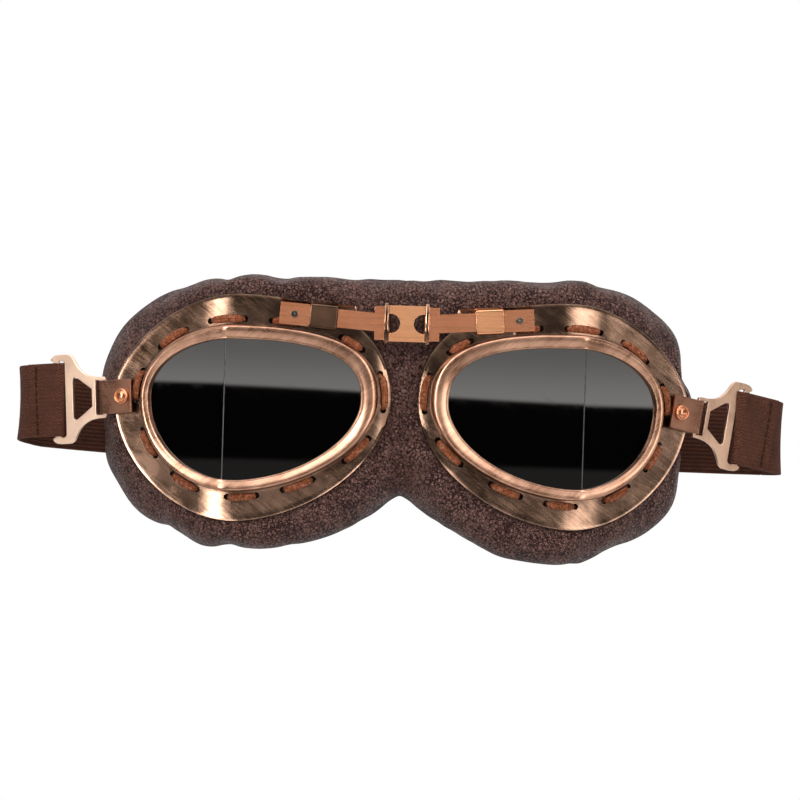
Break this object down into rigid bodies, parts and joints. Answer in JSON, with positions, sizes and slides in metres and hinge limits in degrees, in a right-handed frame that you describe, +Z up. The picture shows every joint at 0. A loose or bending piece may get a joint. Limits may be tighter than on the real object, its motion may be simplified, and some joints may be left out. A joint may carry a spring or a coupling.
{
  "type": "riding goggles",
  "caption": "Split-lens riding goggles with bent copper frames laced to padded leather, a hinged sliding nose bridge, strap buckles and an elastic head strap.",
  "frame": {"origin": "middle of the face seat: the plane of the pads' flat rear beside the nose, between the lenses", "axes": "+X to the viewer's right across the goggles, +Y from the lenses to the face, +Z up as worn"},
  "size_m": [0.265, 0.0603, 0.0935],
  "materials": {
    "antique_copper": "brushed, antiqued copper plate",
    "bright_copper": "brushed copper plate",
    "buckle_copper": "dark copper plate",
    "dark_steel": "blackened",
    "smoke_lens": "dark smoke, polished",
    "black_seal": "matte",
    "brown_leather": "crackle-grained leatherette",
    "black_foam": "velour-faced foam",
    "rust_cord": "braided cord",
    "brown_elastic": "woven elastic"
  },
  "bodies": {
    "bridge": {"bridge_link": "bright_copper", "left_hinge_pin": "bright_copper", "right_hinge_pin": "bright_copper", "nose_pad": "brown_leather"},
    "slider": {"strap_slider": "buckle_copper"},
    "left_arm": {"left_bridge_arm": "bright_copper", "left_stop_screw": "dark_steel"},
    "left_frame": {"left_frame_flange": "antique_copper", "left_lens_bezel": "antique_copper", "left_front_lens": "smoke_lens", "left_side_lens": "smoke_lens", "left_lens_seal": "black_seal", "left_lens_gasket": "black_seal", "left_pad_cover": "brown_leather", "left_face_foam": "black_foam", "left_lacing_cord": "rust_cord", "left_bridge_sleeve": "bright_copper", "left_tab_rivet": "bright_copper"},
    "left_tab": {"left_strap_tab": "antique_copper"},
    "left_buckle": {"left_strap_buckle": "buckle_copper", "left_strap_end": "brown_elastic"},
    "left_strap": {"left_strap_band": "brown_elastic"},
    "right_arm": {"right_bridge_arm": "bright_copper", "right_stop_screw": "dark_steel"},
    "right_frame": {"right_frame_flange": "antique_copper", "right_lens_bezel": "antique_copper", "right_front_lens": "smoke_lens", "right_side_lens": "smoke_lens", "right_lens_seal": "black_seal", "right_lens_gasket": "black_seal", "right_pad_cover": "brown_leather", "right_face_foam": "black_foam", "right_lacing_cord": "rust_cord", "right_bridge_sleeve": "bright_copper", "right_tab_rivet": "bright_copper"},
    "right_tab": {"right_strap_tab": "antique_copper"},
    "right_buckle": {"right_strap_buckle": "buckle_copper", "right_strap_end": "brown_elastic"},
    "right_strap": {"right_strap_band": "brown_elastic"}
  },
  "joints": [
    {"name": "left_fold", "type": "hinge", "parent": "bridge", "child": "left_arm", "pos_m": [-0.00685, -0.0278, 0.0293], "axis": [0, 0, -1], "range_deg": [-5, 10], "deforming": ["nose_pad", "left_strap_end"]},
    {"name": "left_width", "type": "slide", "parent": "left_arm", "child": "left_frame", "axis": [0.9976, 0, -0.0698], "range_m": [0, 0.003], "deforming": ["nose_pad", "left_strap_end"]},
    {"name": "left_tab_swivel", "type": "hinge", "parent": "left_frame", "child": "left_tab", "pos_m": [-0.093, -0.00845, 0.0025], "axis": [-0.4695, -0.8829, 0], "range_deg": [-14, 11], "deforming": ["left_strap_end"]},
    {"name": "left_buckle_hinge", "type": "hinge", "parent": "left_tab", "child": "left_buckle", "pos_m": [-0.10085, -0.00643, 0.00195], "axis": [0.0616, -0.0327, -0.9976], "range_deg": [-25, 25], "deforming": ["left_strap_end"]},
    {"name": "left_strap_swing", "type": "hinge", "parent": "left_frame", "child": "left_strap", "pos_m": [-0.112, 0.025, -0.006], "axis": [0, 0, -1], "range_deg": [-10, 5], "deforming": ["left_strap_end"]},
    {"name": "right_fold", "type": "hinge", "parent": "bridge", "child": "right_arm", "pos_m": [0.00685, -0.0278, 0.0293], "axis": [0, 0, 1], "range_deg": [-5, 10], "deforming": ["nose_pad", "right_strap_end"]},
    {"name": "right_width", "type": "slide", "parent": "right_arm", "child": "right_frame", "axis": [-0.9976, 0, -0.0698], "range_m": [0, 0.003], "deforming": ["nose_pad", "right_strap_end"]},
    {"name": "right_tab_swivel", "type": "hinge", "parent": "right_frame", "child": "right_tab", "pos_m": [0.093, -0.00845, 0.0025], "axis": [-0.4695, 0.8829, 0], "range_deg": [-20, 5], "deforming": ["right_strap_end"]},
    {"name": "right_buckle_hinge", "type": "hinge", "parent": "right_tab", "child": "right_buckle", "pos_m": [0.10076, -0.00648, 0.00113], "axis": [0.1533, 0.0815, 0.9848], "range_deg": [-25, 25], "deforming": ["right_strap_end"]},
    {"name": "right_strap_swing", "type": "hinge", "parent": "right_frame", "child": "right_strap", "pos_m": [0.112, 0.025, -0.006], "axis": [0, 0, 1], "range_deg": [-10, 5], "deforming": ["right_strap_end"]},
    {"name": "slider_slide", "type": "slide", "parent": "left_strap", "child": "slider", "axis": [1, 0, 0], "range_m": [-0.01, 0.01]}
  ],
  "couplings": [
    {"joint": "right_fold", "follows": "left_fold", "ratio": 1},
    {"joint": "left_strap_swing", "follows": "left_fold", "ratio": -1},
    {"joint": "right_strap_swing", "follows": "left_fold", "ratio": -1}
  ]
}
